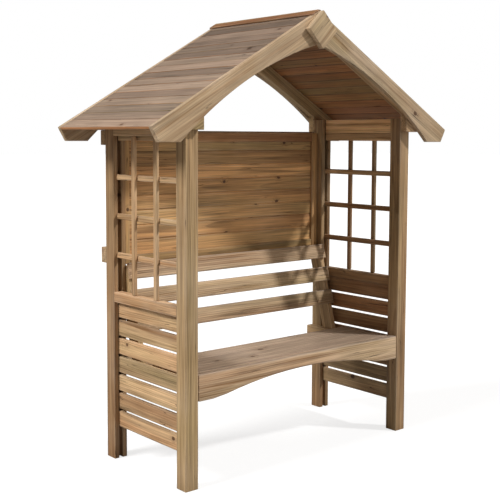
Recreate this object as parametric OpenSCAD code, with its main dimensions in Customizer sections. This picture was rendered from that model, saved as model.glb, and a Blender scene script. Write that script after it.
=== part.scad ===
// Garden arbour: an open timber frame with slatted and latticed sides, a bench
// seat, a leaning backrest, a boarded panel at the top of the back and a pitched
// boarded roof with curved bargeboards.
// Millimetres, +Z up. X runs along the seat, Y from the open front to the back.
// The origin is the centre of the footprint on the ground.

/* [Frame] */
// Width over the outer faces of the posts
frame_w = 1350; // [1250:10:1500]
// Depth over the outer faces of the posts
frame_d = 600; // [560:10:700]
// Side of the square posts
post_size = 65; // [60:1:70]
// Height of the posts and of the wall plates
post_h = 1539; // [1500:1:1640]
// Lip left outside the groove that holds the side infill
groove_lip = 24; // [20:1:25]
// Width of that groove
groove_w = 17; // [15:1:19]
// Depth of that groove
groove_depth = 25; // [15:1:28]

/* [Side infill] */
// Slats on each side
slat_count = 7; // [6:1:7]
// Height of one slat
slat_h = 72; // [64:1:75]
// Open gap between two slats
slat_gap = 11; // [6:1:14]
// Underside of the lowest slat
slat_bottom = 145; // [120:1:160]
// Height of the rail above the slats
mid_rail_h = 46; // [40:1:60]
// Width of a lattice bar
lattice_bar_w = 25; // [20:1:30]
// Thickness of the lattice uprights, outside the level bars
lattice_upright_t = 18; // [14:1:22]
// Upright lattice bars on each side
lattice_uprights = 2; // [2:1:3]
// Level lattice bars on each side
lattice_levels = 3; // [3:1:4]
// Height of the rail that closes the lattice at the top
head_rail_h = 40; // [30:1:50]
// Height of the full-thickness part of the wall plate
plate_h = 68; // [60:1:75]
// Height of the outer lip under the wall plate
plate_lip_h = 20; // [10:1:25]

/* [Back] */
// Thickness of the two rails behind the back posts and of the rafters
rafter_t = 38; // [32:1:45]
// Height of the top back rail
back_top_h = 66; // [60:1:72]
// Height of the lower back rail
back_low_h = 70; // [60:1:75]
// Underside of the lower back rail
back_low_z = 883; // [875:1:900]
// Thickness of the panel frame
panel_t = 32; // [26:1:36]
// Width of the panel frame's stiles
panel_stile_w = 42; // [35:1:55]
// Height of the panel frame's top rail
panel_top_h = 46; // [40:1:60]
// Height of the panel frame's bottom rail
panel_low_h = 39; // [30:1:50]
// Height of one full panel board
panel_board_h = 67; // [60:1:80]
// Thickness of the panel boards
panel_board_t = 15; // [12:1:18]
// Set-back of the panel boards behind the front of their frame
panel_setback = 10; // [6:1:12]

/* [Seat] */
// Height of the seat's top
seat_h = 478; // [460:1:485]
// Depth of the seat with its apron
seat_depth = 335; // [290:1:370]
// Thickness of the seat boards
seat_board_t = 32; // [28:1:36]
// Seat boards behind the apron
seat_board_count = 3; // [3:1:4]
// Thickness of the apron
apron_t = 35; // [30:1:40]
// Height of the apron at its ends
apron_end_h = 113; // [100:1:120]
// Flat length at each end of the apron's lower edge
apron_foot = 110; // [90:1:140]
// Rise of the arch in the apron's lower edge
apron_rise = 56; // [30:1:60]
// Height of the seat bearers
bearer_h = 70; // [60:1:75]
// Thickness of the seat bearers
bearer_t = 38; // [36:1:45]

/* [Backrest] */
// Height of a backrest rail
back_rail_w = 73.5; // [65:0.5:78]
// Thickness of a backrest rail
back_rail_t = 20; // [16:1:24]
// Vertical pitch of the backrest rails
back_rail_pitch = 116; // [108:1:120]
// Height of the lower edge of the top backrest rail
back_rail_top_z = 811; // [800:1:815]
// Slope of the backrest, horizontal run for each millimetre of height
back_lean = 0.27; // [0.2:0.01:0.27]
// Depth of a backrest leg, front to back
leg_d = 74; // [60:1:76]
// Width of a backrest leg, across
leg_w = 27; // [22:1:36]

/* [Roof] */
// Height of the roof's underside above the posts' outer edges
roof_over_post = 50; // [42:1:60]
// Overhang of the eaves past the posts, measured level
eave_out = 202.5; // [180:0.5:230]
// Pitch of the roof in degrees
roof_pitch = 30; // [29:0.5:31]
// Roof boards on each slope
roof_board_count = 16; // [12:1:18]
// Thickness of the roof boards
roof_board_t = 13.5; // [12:0.5:18]
// Height of a rafter, square to its edges
rafter_h = 59.5; // [50:0.5:65]
// Thickness of the bargeboards
barge_t = 22; // [18:1:25]
// Plumb height of a bargeboard at the ridge
barge_ridge_h = 144; // [130:1:160]
// Plumb height of a bargeboard at its foot
barge_foot_h = 60; // [50:1:70]
// Level width of a bargeboard's foot
barge_foot_w = 104; // [80:1:130]
// Radius of the bargeboard's curved lower edge
barge_r = 1738; // [1500:1:2400]
// Side of the square apex block
apex_side = 118; // [100:1:130]
// Thickness of the apex block
apex_t = 28; // [20:1:35]
// Distance of the apex block's centre below the ridge
apex_drop = 83; // [80:1:100]
// Width of the cap strips along the ridge
cap_w = 48; // [40:1:60]
// Thickness of the cap strips
cap_t = 7; // [5:1:12]

/* [Fits] */
// Gap on each side of the infill in its groove
groove_fit = 0.3; // [0.1:0.1:0.5]
// How far the infill stops short of the groove's bottom
groove_end_gap = 4; // [1:1:6]
// Gap between neighbouring roof boards
roof_gap = 1.4; // [1:0.1:2.5]
// Gap between neighbouring panel boards
panel_gap = 1.4; // [1:0.1:2.5]
// Gap between neighbouring seat boards
seat_gap = 3; // [2:0.5:6]
// Gap between the seat's ends and the posts
seat_end_gap = 2; // [1:0.5:4]
// Gap between the backrest rail and the back posts it leans on
lean_fit = 0.3; // [0.2:0.1:0.5]

/* [Part] */
// Which piece to draw

/* [Hidden] */

half_w = frame_w / 2;
half_d = frame_d / 2;
post_in_x = half_w - post_size;
post_in_y = half_d - post_size;

// The infill's plane, measured outward from the middle of the arbour.
groove_out = half_w - groove_lip;
groove_in = groove_out - groove_w;
infill_end_y = post_in_y + groove_depth - groove_end_gap;
mid_rail_z = slat_bottom + slat_count * slat_h + (slat_count - 1) * slat_gap;
lattice_z = mid_rail_z + mid_rail_h;
plate_z = post_h - plate_h;
head_rail_z = plate_z - head_rail_h;
upright_in = half_w - lattice_upright_t;
lattice_lap = 1;
lattice_level_gap = (head_rail_z - lattice_z - lattice_levels * lattice_bar_w) / (lattice_levels + 1);
lattice_upright_gap = (2 * post_in_y - lattice_uprights * lattice_bar_w) / (lattice_uprights + 1);

// Roof planes, each a height at the ridge that falls with the pitch.
roof_slope = tan(roof_pitch);
board_plumb = roof_board_t / cos(roof_pitch);
rafter_top = post_h + roof_over_post + roof_slope * half_w;
ridge_h = rafter_top + board_plumb;
tip_x = half_w + eave_out;
tip_z = ridge_h - roof_slope * tip_x;
rafter_low = rafter_top - rafter_h / cos(roof_pitch);
rafter_y = half_d + rafter_t;
barge_y = rafter_y + barge_t;
apex_y = barge_y + apex_t;
heel_setback = 27.5;
heel_tail = 11.5;
heel_x = tip_x - heel_setback;
heel_z = rafter_top - roof_slope * heel_x - heel_tail;
ridge_start = roof_board_t * tan(roof_pitch);
slope_len = tip_x / cos(roof_pitch);
roof_board_pitch = (slope_len - ridge_start + roof_gap) / roof_board_count;

// Bargeboard: its foot and the circle that cuts its lower edge.
foot_lean = 34.5;
foot_out_x = tip_x - foot_lean;
foot_in_x = foot_out_x - barge_foot_w;
foot_z = tip_z - barge_foot_h;
barge_mid_z = ridge_h - barge_ridge_h;
chord = sqrt(foot_in_x * foot_in_x + (barge_mid_z - foot_z) * (barge_mid_z - foot_z));
chord_h = sqrt(barge_r * barge_r - chord * chord / 4);
arc_x = foot_in_x / 2 - (barge_mid_z - foot_z) / chord * chord_h;
arc_z = (barge_mid_z + foot_z) / 2 - foot_in_x / chord * chord_h;

// Back rails and panel between the back posts.
back_top_z = heel_z - back_top_h;
panel_y = half_d - panel_t;
panel_low_z = back_low_z - 10;
panel_top_z = heel_z - 6;
panel_field_z = panel_low_z + panel_low_h;
panel_field_top = panel_top_z - panel_top_h;
panel_board_count = ceil((panel_field_top - panel_field_z) / panel_board_h);

// Seat and backrest.
seat_half = post_in_x - seat_end_gap;
apron_half = seat_half - apron_foot;
apron_r = (apron_half * apron_half + apron_rise * apron_rise) / (2 * apron_rise);
seat_under = seat_h - seat_board_t;
seat_board_w = (seat_depth - apron_t - seat_board_count * seat_gap) / seat_board_count;
lean_angle = atan(back_lean);
back_rail_top_y = post_in_y - lean_fit - back_rail_w * sin(lean_angle);
leg_foot_y = back_rail_top_y - back_lean * (back_rail_top_z - seat_under);
leg_top_z = panel_low_z - 5;

arc_fn = 360;

oak = [0.62, 0.47, 0.33];
board_tone = [0.66, 0.52, 0.38];
shade_tone = [0.5, 0.36, 0.24];

// A solid with a section in the Y-Z plane, from x0 to x1.
module across(x0, x1) {
  translate([x0, 0, 0]) rotate([90, 0, 90]) linear_extrude(x1 - x0) children();
}

// A solid with a section in the X-Z plane, from y0 to y1.
module fore_aft(y0, y1) {
  translate([0, y1, 0]) rotate([90, 0, 0]) linear_extrude(y1 - y0) children();
}

// A plain bar between two corners.
module bar(low, high) {
  translate(low) cube([high[0] - low[0], high[1] - low[1], high[2] - low[2]]);
}

module on_left() { mirror([1, 0, 0]) children(); }
module on_back() { mirror([0, 1, 0]) children(); }

// Corner post on the right at the front, with its groove facing back.
module post() {
  difference() {
    bar([post_in_x, -half_d, 0], [half_w, -post_in_y, post_h]);
    bar([groove_in, -post_in_y - groove_depth, -1],
        [groove_out, -post_in_y + 1, post_h + 1]);
  }
}

module slats() {
  for (i = [0 : slat_count - 1])
    translate([0, 0, slat_bottom + i * (slat_h + slat_gap)])
      bar([groove_in + groove_fit, -infill_end_y, 0],
          [groove_out - groove_fit, infill_end_y, slat_h]);
}

module mid_rail() {
  bar([groove_in, -post_in_y, mid_rail_z], [half_w, post_in_y, lattice_z]);
}

function lattice_level(i) = lattice_z + i * lattice_level_gap + (i - 1) * lattice_bar_w;
function lattice_upright(i) = -post_in_y + i * lattice_upright_gap + (i - 1) * lattice_bar_w;

// Level bars, tenoned into the grooves; uprights cross them outside, flush with the posts.
module lattice() {
  for (i = [1 : lattice_levels]) {
    bar([groove_in + groove_fit, -infill_end_y, lattice_level(i)],
        [groove_out - groove_fit, infill_end_y, lattice_level(i) + lattice_bar_w]);
    bar([groove_in + groove_fit, -post_in_y, lattice_level(i)],
        [upright_in, post_in_y, lattice_level(i) + lattice_bar_w]);
  }
  for (i = [1 : lattice_uprights])
    bar([upright_in - lattice_lap, lattice_upright(i), lattice_z],
        [half_w, lattice_upright(i) + lattice_bar_w, plate_z - plate_lip_h]);
}

module head_rail() {
  bar([groove_in, -post_in_y, head_rail_z], [groove_out, post_in_y, plate_z]);
}

module wall_plate() {
  across_plate = [[groove_in, plate_z], [groove_out, plate_z],
    [groove_out, plate_z - plate_lip_h], [half_w, plate_z - plate_lip_h],
    [half_w, post_h], [groove_in, post_h]];
  fore_aft(-post_in_y, post_in_y) polygon(across_plate);
}

module back_rail(z, h) {
  bar([-half_w, half_d, z], [half_w, rafter_y, z + h]);
}

module panel_stile() {
  bar([post_in_x - panel_stile_w, panel_y, panel_low_z], [post_in_x, half_d, panel_top_z]);
}

module panel_rail(z, h) {
  bar([panel_stile_w - post_in_x, panel_y, z], [post_in_x - panel_stile_w, half_d, z + h]);
}

// Full boards are laid from the lower rail up; the top one takes what is left.
module panel_field() {
  for (i = [0 : panel_board_count - 1])
    bar([panel_stile_w - post_in_x, panel_y + panel_setback,
         panel_field_z + (i == 0 ? 0 : i * panel_board_h + panel_gap)],
        [post_in_x - panel_stile_w, panel_y + panel_setback + panel_board_t,
         min(panel_field_z + (i + 1) * panel_board_h, panel_field_top)]);
}

module seat_bearer() {
  bar([post_in_x - bearer_t, apron_t - half_d, seat_under - bearer_h],
      [post_in_x, half_d, seat_under]);
}

module apron() {
  fore_aft(-half_d, apron_t - half_d) difference() {
    translate([-seat_half, seat_h - apron_end_h]) square([2 * seat_half, apron_end_h]);
    translate([0, seat_h - apron_end_h + apron_rise - apron_r]) circle(r = apron_r, $fn = arc_fn);
  }
}

module seat_field() {
  for (i = [0 : seat_board_count - 1])
    translate([0, apron_t - half_d + seat_gap + i * (seat_board_w + seat_gap), 0])
      bar([-seat_half, 0, seat_under], [seat_half, seat_board_w, seat_h]);
}

// Leg that leans back from the bearer, cut level at the foot and at the top.
module backrest_leg() {
  run = back_lean * (leg_top_z - seat_under);
  across(post_in_x - leg_w, post_in_x)
    polygon([[leg_foot_y, seat_under], [leg_foot_y + leg_d, seat_under],
      [leg_foot_y + leg_d + run, leg_top_z], [leg_foot_y + run, leg_top_z]]);
}

// Rail on the front edge of the legs, its back lower corner at height z.
module backrest_rail(z, half) {
  translate([0, leg_foot_y + back_lean * (z - seat_under), z]) rotate([-lean_angle, 0, 0])
    bar([-half, -back_rail_t, 0], [half, 0, back_rail_w]);
}

// Right-hand front rafter with its heel beside the post.
module rafter() {
  fore_aft(-rafter_y, -half_d)
    polygon([[0, rafter_low], [post_in_x, rafter_low - roof_slope * post_in_x],
      [post_in_x, heel_z], [heel_x, heel_z], [heel_x, rafter_top - roof_slope * heel_x],
      [0, rafter_top]]);
}

module bargeboard() {
  fore_aft(-barge_y, -rafter_y) difference() {
    polygon([[0, foot_z], [foot_out_x, foot_z], [tip_x, tip_z], [0, ridge_h]]);
    translate([arc_x, arc_z]) circle(r = barge_r, $fn = arc_fn);
  }
}

module apex_block() {
  fore_aft(-apex_y, -barge_y)
    translate([0, ridge_h - apex_drop]) rotate(45) square(apex_side, center = true);
}

// Frame of the right-hand slope: x runs down the slope, z square out of it.
module on_slope() {
  translate([0, 0, ridge_h]) rotate([0, roof_pitch, 0]) children();
}

module roof_field() {
  on_slope() for (i = [0 : roof_board_count - 1])
    translate([ridge_start + i * roof_board_pitch, 0, -roof_board_t])
      bar([0, -rafter_y, 0], [roof_board_pitch - roof_gap, rafter_y, roof_board_t]);
}

module ridge_cap() {
  on_slope() bar([0, -barge_y, 0], [cap_w, barge_y, cap_t]);
}

module post_front_left() { color(oak) on_left() post(); }
module post_front_right() { color(oak) post(); }
module post_back_left() { color(oak) on_back() on_left() post(); }
module post_back_right() { color(oak) on_back() post(); }
module slats_left() { color(board_tone) on_left() slats(); }
module slats_right() { color(board_tone) slats(); }
module mid_rail_left() { color(oak) on_left() mid_rail(); }
module mid_rail_right() { color(oak) mid_rail(); }
module lattice_left() { color(board_tone) on_left() lattice(); }
module lattice_right() { color(board_tone) lattice(); }
module head_rail_left() { color(oak) on_left() head_rail(); }
module head_rail_right() { color(oak) head_rail(); }
module wall_plate_left() { color(oak) on_left() wall_plate(); }
module wall_plate_right() { color(oak) wall_plate(); }
module back_rail_top() { color(oak) back_rail(back_top_z, back_top_h); }
module back_rail_low() { color(oak) back_rail(back_low_z, back_low_h); }
module panel_stile_left() { color(oak) on_left() panel_stile(); }
module panel_stile_right() { color(oak) panel_stile(); }
module panel_rail_top() { color(oak) panel_rail(panel_field_top, panel_top_h); }
module panel_rail_low() { color(oak) panel_rail(panel_low_z, panel_low_h); }
module panel_boards() { color(shade_tone) panel_field(); }
module seat_bearer_left() { color(oak) on_left() seat_bearer(); }
module seat_bearer_right() { color(oak) seat_bearer(); }
module seat_apron() { color(board_tone) apron(); }
module seat_boards() { color(board_tone) seat_field(); }
module backrest_leg_left() { color(oak) on_left() backrest_leg(); }
module backrest_leg_right() { color(oak) backrest_leg(); }
module backrest_rail_top() {
  color(board_tone) backrest_rail(back_rail_top_z, post_in_x);
}
module backrest_rail_middle() {
  color(board_tone) backrest_rail(back_rail_top_z - back_rail_pitch, post_in_x);
}
module backrest_rail_low() {
  color(board_tone) backrest_rail(back_rail_top_z - 2 * back_rail_pitch, post_in_x);
}
module rafter_front_left() { color(shade_tone) on_left() rafter(); }
module rafter_front_right() { color(shade_tone) rafter(); }
module rafter_back_left() { color(shade_tone) on_back() on_left() rafter(); }
module rafter_back_right() { color(shade_tone) on_back() rafter(); }
module bargeboard_front_left() { color(board_tone) on_left() bargeboard(); }
module bargeboard_front_right() { color(board_tone) bargeboard(); }
module bargeboard_back_left() { color(board_tone) on_back() on_left() bargeboard(); }
module bargeboard_back_right() { color(board_tone) on_back() bargeboard(); }
module apex_block_front() { color(oak) apex_block(); }
module apex_block_back() { color(oak) on_back() apex_block(); }
module roof_boards_left() { color(board_tone) on_left() roof_field(); }
module roof_boards_right() { color(board_tone) roof_field(); }
module ridge_cap_left() { color(oak) on_left() ridge_cap(); }
module ridge_cap_right() { color(oak) ridge_cap(); }

post_front_left();
post_front_right();
post_back_left();
post_back_right();
slats_left();
slats_right();
mid_rail_left();
mid_rail_right();
lattice_left();
lattice_right();
head_rail_left();
head_rail_right();
wall_plate_left();
wall_plate_right();
back_rail_top();
back_rail_low();
panel_stile_left();
panel_stile_right();
panel_rail_top();
panel_rail_low();
panel_boards();
seat_bearer_left();
seat_bearer_right();
seat_apron();
seat_boards();
backrest_leg_left();
backrest_leg_right();
backrest_rail_top();
backrest_rail_middle();
backrest_rail_low();
rafter_front_left();
rafter_front_right();
rafter_back_left();
rafter_back_right();
bargeboard_front_left();
bargeboard_front_right();
bargeboard_back_left();
bargeboard_back_right();
apex_block_front();
apex_block_back();
roof_boards_left();
roof_boards_right();
ridge_cap_left();
ridge_cap_right();
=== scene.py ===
"""Looks for the garden arbour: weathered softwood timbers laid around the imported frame.

Every timber is a surface of its own, with rounded arrises and ends, that carries its
own grain: a point attribute says where each point lies in the log it was sawn from.
"""

import logging
import math
from collections.abc import Sequence
from dataclasses import dataclass
from enum import Enum
from typing import TypeAlias

import bpy
import numpy as np
from mathutils import Matrix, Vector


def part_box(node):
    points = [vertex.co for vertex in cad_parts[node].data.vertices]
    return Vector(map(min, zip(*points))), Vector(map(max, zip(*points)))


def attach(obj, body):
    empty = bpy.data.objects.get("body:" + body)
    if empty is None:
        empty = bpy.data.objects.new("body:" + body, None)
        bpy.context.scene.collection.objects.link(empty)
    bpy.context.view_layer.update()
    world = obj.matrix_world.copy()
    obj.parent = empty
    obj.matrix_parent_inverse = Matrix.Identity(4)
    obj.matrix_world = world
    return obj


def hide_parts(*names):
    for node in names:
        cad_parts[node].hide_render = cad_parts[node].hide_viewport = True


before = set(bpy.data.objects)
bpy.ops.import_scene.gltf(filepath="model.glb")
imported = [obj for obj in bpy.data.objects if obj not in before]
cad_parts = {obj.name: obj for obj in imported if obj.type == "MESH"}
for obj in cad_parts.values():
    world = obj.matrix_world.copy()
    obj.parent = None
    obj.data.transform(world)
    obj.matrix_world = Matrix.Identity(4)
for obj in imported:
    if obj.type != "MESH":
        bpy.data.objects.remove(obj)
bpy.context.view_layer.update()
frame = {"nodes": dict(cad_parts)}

log = logging.getLogger("arbour")

Colour: TypeAlias = tuple[float, float, float, float]
Range: TypeAlias = tuple[float, float]

# Steps round an arris, and the most of a short edge that an arris and its wear may take.
ARRIS_STEPS = 3
ARC_SHARE = 0.3
BAND_SHARE = 0.2
# How far wear reaches from an arris, and how far apart the rings along a timber lie.
WEAR_BAND = 0.006
RING_SPACING = 0.07
# The deepest dip of a planed face, and how many slow and quick waves it has, in radians a metre.
FACE_DIP = 0.0003
SLOW_WAVE = (3.0, 7.0)
QUICK_WAVE = (14.0, 26.0)
# Radii of a plain timber's arrises and of a moulded timber's ends.
ARRIS = 0.003
END_ARRIS = 0.002
# Length over which a section steps from one size to the next.
SHOULDER = 0.0002
# Faces that meet at a greater angle than this stay sharp, in degrees.
SHARP = 40.0
# How far from the heart a timber is sawn, and the length of log it is picked from.
PITH_REACH = (0.018, 0.075)
LOG_LENGTH = 40.0
# How far the tones of the frame's timbers stray, against 1 for boards laid side by side.
FRAME_SPREAD = 0.7
ROOF_PITCH = math.radians(30)
# How strong each finer layer of noise is against the one before.
NOISE_ROUGHNESS = 0.55
# A tone holds a timber's lightness, its redness and a number of its own.
LIGHTNESS = np.array([1.0, 0.0, 0.0])
# Lightness and redness of the timbers that differ from the others of their kind.
# The lightness here is painted light and shade: lighter where light falls on a timber, darker where
# shade falls, beside a redness of its own.
PAINTED_LIGHT_AND_HUE = {
    "post_front_right": (-0.7, 0.7),
    "post_back_left": (-1.4, 0.3),
    "post_back_right": (-0.6, 0.4),
    "wall_plate_right": (4.0, 0.0),
    "lattice_left": (1.2, 0.0),
    "slats_right": (-0.8, 0.7),
    "mid_rail_right": (-0.8, 0.7),
    "lattice_right": (-1.2, 0.5),
    "panel_rail_top": (-1.0, 0.2),
    "backrest_rail_low": (-0.5, -0.3),
    "backrest_rail_middle": (-0.5, -0.3),
    "apex_block_front": (0.2, 0.25),
}
X_AXIS = np.array([1.0, 0.0, 0.0])
Y_AXIS = np.array([0.0, 1.0, 0.0])
Z_AXIS = np.array([0.0, 0.0, 1.0])


class Side(Enum):
    """The two sides of the arbour, by the sign of X."""

    LEFT = -1
    RIGHT = 1


class End(Enum):
    """The open front and the panelled back, by the sign of Y."""

    FRONT = -1
    BACK = 1


@dataclass(frozen=True)
class Box:
    """A box between two corners, in metres."""

    low: np.ndarray
    high: np.ndarray

    @classmethod
    def of(cls, node: str) -> "Box":
        """Reads a node's box from the frame.

        Args:
            node: the node's name.

        Returns:
            The box the node fills.
        """
        low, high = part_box(node)
        return cls(np.array(low), np.array(high))

    @property
    def size(self) -> np.ndarray:
        """Lengths of the three sides."""
        return self.high - self.low

    @property
    def centre(self) -> np.ndarray:
        """The middle of the box."""
        return (self.low + self.high) / 2

    def inner(self, side: Side) -> float:
        """Place on X of the face towards the arbour's middle, for a box on that side."""
        return self.low[0] if side is Side.RIGHT else self.high[0]

    def outer(self, side: Side) -> float:
        """Place on X of the face away from the arbour's middle, for a box on that side."""
        return self.high[0] if side is Side.RIGHT else self.low[0]


# --------------------------------------------------------------------------- shapes


@dataclass(frozen=True)
class Section:
    """A timber's outline across its run.

    points and normals are (m, 2); the wear (m,) is 1 on an arris, 0 on a flat and -1
    in an inner corner, which is darkened for dirt and painted shade.
    """

    points: np.ndarray
    normals: np.ndarray
    worn: np.ndarray


@dataclass(frozen=True)
class Surface:
    """A closed surface on a grid of rings: points are (n, m, 3), its wear and painted shade (n, m)."""

    points: np.ndarray
    worn: np.ndarray


def rounded_section(corners: Sequence[tuple[float, float]], radius: float) -> Section:
    """Rounds the corners of an outline that runs counter-clockwise.

    Each corner becomes an arc tangent to its two edges: its centre lies a radius
    inside both, and the arc's normals turn evenly from one edge's normal to the
    next. One more point on each edge, a band's width off, keeps the wear near it.

    Args:
        corners: the outline's corners.
        radius: the arcs' radius, made smaller on short edges.

    Returns:
        The rounded section.
    """
    ring = np.array(corners, dtype=float)
    before = ring - np.roll(ring, 1, axis=0)
    after = np.roll(ring, -1, axis=0) - ring
    reach_before = np.linalg.norm(before, axis=1, keepdims=True)
    reach_after = np.linalg.norm(after, axis=1, keepdims=True)
    along_in = before / reach_before
    along_out = after / reach_after
    normal_in = np.stack([along_in[:, 1], -along_in[:, 0]], axis=1)
    normal_out = np.stack([along_out[:, 1], -along_out[:, 0]], axis=1)
    cross = along_in[:, 0] * along_out[:, 1] - along_in[:, 1] * along_out[:, 0]
    turn = np.sign(cross)[:, None]
    short = np.minimum(reach_before, reach_after)
    arc = np.minimum(radius, ARC_SHARE * short)
    dot = np.sum(normal_in * normal_out, axis=1, keepdims=True)
    centre = ring - turn * arc * (normal_in + normal_out) / (1 + dot)
    start = np.arctan2(normal_in[:, 1], normal_in[:, 0])
    sweep = np.arctan2(cross, dot[:, 0])
    angle = start[:, None] + sweep[:, None] * np.linspace(0, 1, ARRIS_STEPS + 1)
    normals = np.stack([np.cos(angle), np.sin(angle)], axis=2)
    points = centre[:, None] + (turn * arc)[:, None] * normals
    band_in = np.minimum(WEAR_BAND, BAND_SHARE * reach_before)
    band_out = np.minimum(WEAR_BAND, BAND_SHARE * reach_after)
    first = points[:, :1] - (along_in * band_in)[:, None]
    last = points[:, -1:] + (along_out * band_out)[:, None]
    points = np.concatenate([first, points, last], axis=1)
    normals = np.concatenate([normals[:, :1], normals, normals[:, -1:]], axis=1)
    worn = np.zeros(points.shape[:2])
    # Inner corners get -1: the material darkens them as dirt and painted shade.
    worn[:, 1:-1] = turn
    return Section(points.reshape(-1, 2), normals.reshape(-1, 2), worn.reshape(-1))


def unit_rectangle() -> tuple[np.ndarray, np.ndarray, np.ndarray, np.ndarray]:
    """A rounded rectangle as a template: corner signs, normals, slides and wear.

    A point is its corner's sign times the half sizes less the radius, plus the radius
    times its normal, plus a band's width along its slide.

    Returns:
        Signs (m, 2), normals (m, 2), slides (m, 2) and wear (m,).
    """
    signs = np.array([(1, -1), (1, 1), (-1, 1), (-1, -1)], dtype=float)
    start = np.array([-0.5, 0.0, 0.5, 1.0]) * math.pi
    angle = start[:, None] + np.linspace(0, math.pi / 2, ARRIS_STEPS + 1)
    normals = np.stack([np.cos(angle), np.sin(angle)], axis=2)
    normals = np.concatenate([normals[:, :1], normals, normals[:, -1:]], axis=1)
    slides = np.zeros_like(normals)
    slides[:, 0] = np.stack([np.sin(start), -np.cos(start)], axis=1)
    end = start + math.pi / 2
    slides[:, -1] = np.stack([-np.sin(end), np.cos(end)], axis=1)
    worn = np.zeros(normals.shape[:2])
    worn[:, 1:-1] = 1
    signs = np.repeat(signs[:, None], normals.shape[1], axis=1)
    return signs.reshape(-1, 2), normals.reshape(-1, 2), slides.reshape(-1, 2), worn.reshape(-1)


def rounded_ends(length: float, radius: float) -> tuple[np.ndarray, np.ndarray]:
    """Stations along a run whose two ends are quarter rounds.

    Over a quarter turn, the station moves in by the radius less its cosine part while
    the ring draws in by the radius less its sine part.

    Args:
        length: the run's length.
        radius: the ends' radius.

    Returns:
        The stations (n,) and how far each ring draws in (n,).
    """
    quarter = np.linspace(0, math.pi / 2, ARRIS_STEPS)
    rise = radius * (1 - np.cos(quarter))
    inset = radius * (1 - np.sin(quarter))
    count = max(2, round(length / RING_SPACING))
    middle = np.linspace(radius, length - radius, count + 1)[1:-1]
    stations = np.concatenate([rise, middle, length - rise[::-1]])
    return stations, np.concatenate([inset, np.zeros(len(middle)), inset[::-1]])


def wander(stations: np.ndarray, ring: int, seed: int) -> np.ndarray:
    """How far a planed face dips below true: a slow and a quick wave, never proud.

    The waves' shares add up to the even dip under them, so the least dip is none.

    Args:
        stations: distances along the run (n,).
        ring: points in a ring.
        seed: picks the waves.

    Returns:
        Dips (n, ring).
    """
    rng = np.random.default_rng(seed)
    around = np.linspace(0, 2 * math.pi, ring, endpoint=False)
    place = stations[:, None]
    slow = np.sin(place * rng.uniform(*SLOW_WAVE) + around + rng.uniform(0, 6))
    quick = np.sin(place * rng.uniform(*QUICK_WAVE) - 2 * around + rng.uniform(0, 6))
    even_share, slow_share, quick_share = 0.5, 0.3, 0.2
    return FACE_DIP * (even_share + slow_share * slow + quick_share * quick)


@dataclass(frozen=True)
class Lay:
    """How a straight timber lies: where it starts, its run, and its section's axes."""

    start: np.ndarray
    run: np.ndarray
    across: np.ndarray
    through: np.ndarray


def moulded(section: Section, lay: Lay, length: float, seed: int) -> Surface:
    """Carries an outline along a straight run, with rounded ends.

    A point is the start, plus its station along the run, plus the outline's point
    less its inset along the outline's normal.

    Args:
        section: the outline.
        lay: where the timber lies.
        length: the run's length.
        seed: picks the face's waves.

    Returns:
        The timber's surface.
    """
    stations, inset = rounded_ends(length, END_ARRIS)
    dips = inset[:, None] + wander(stations, len(section.points), seed)
    flat = section.points[None] - dips[..., None] * section.normals[None]
    points = (
        lay.start
        + stations[:, None, None] * lay.run
        + flat[..., :1] * lay.across
        + flat[..., 1:] * lay.through
    )
    return Surface(points, end_wear(section.worn, inset, END_ARRIS))


def end_wear(worn: np.ndarray, inset: np.ndarray, radius: float) -> np.ndarray:
    """Wear over a grid: the section's own, and the ends' where the rings draw in.

    Args:
        worn: the section's wear, with painted shade in inner corners (m,).
        inset: how far each ring draws in (n,).
        radius: the ends' radius.

    Returns:
        Wear (n, m).
    """
    ends = np.minimum(1.0, inset / radius + (inset > 0))
    return np.maximum(worn[None], ends[:, None])


def planked(
    centres: np.ndarray,
    halves: np.ndarray,
    axes: tuple[np.ndarray, np.ndarray],
    inset: np.ndarray,
    radius: float,
    seed: int,
) -> Surface:
    """A timber whose rectangular section may change along its run.

    On a thin timber, the arrises, their wear and the ends' inset keep to shares of
    half the section.

    Args:
        centres: the middle of each ring (n, 3).
        halves: half the section's two sizes at each ring (n, 2).
        axes: the section's two directions.
        inset: how far each ring draws in (n,).
        radius: the arrises' radius.
        seed: picks the face's waves.

    Returns:
        The timber's surface.
    """
    most_arc, most_band, most_inset = 0.8, 0.3, 0.9
    signs, normals, slides, worn = unit_rectangle()
    arc = np.minimum(radius, most_arc * halves.min(axis=1))[:, None, None]
    band = np.minimum(WEAR_BAND, most_band * halves)[:, None]
    run = np.linalg.norm(np.diff(centres, axis=0), axis=1)
    stations = np.concatenate([[0.0], np.cumsum(run)])
    dips = np.minimum(inset[:, None], most_inset * arc[..., 0])
    dips = dips + wander(stations, len(signs), seed)
    flat = signs * (halves[:, None] - arc) + arc * normals + slides * band
    flat = flat - dips[..., None] * normals
    points = centres[:, None] + flat[..., :1] * axes[0] + flat[..., 1:] * axes[1]
    return Surface(points, end_wear(worn, inset, radius))


def plank(box: Box, run: int, radius: float, seed: int) -> Surface:
    """A straight rectangular timber that fills a box.

    Args:
        box: the box.
        run: the axis the timber runs along, 0 to 2.
        radius: the arrises' radius.
        seed: picks the face's waves.

    Returns:
        The timber's surface.
    """
    axes = np.eye(3)
    side, up = [axis for axis in range(3) if axis != run]
    stations, inset = rounded_ends(box.size[run], radius)
    centres = np.tile(box.centre, (len(stations), 1))
    centres[:, run] = box.low[run] + stations
    halves = np.tile([box.size[side] / 2, box.size[up] / 2], (len(stations), 1))
    return planked(centres, halves, (axes[side], axes[up]), inset, radius, seed)


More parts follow.
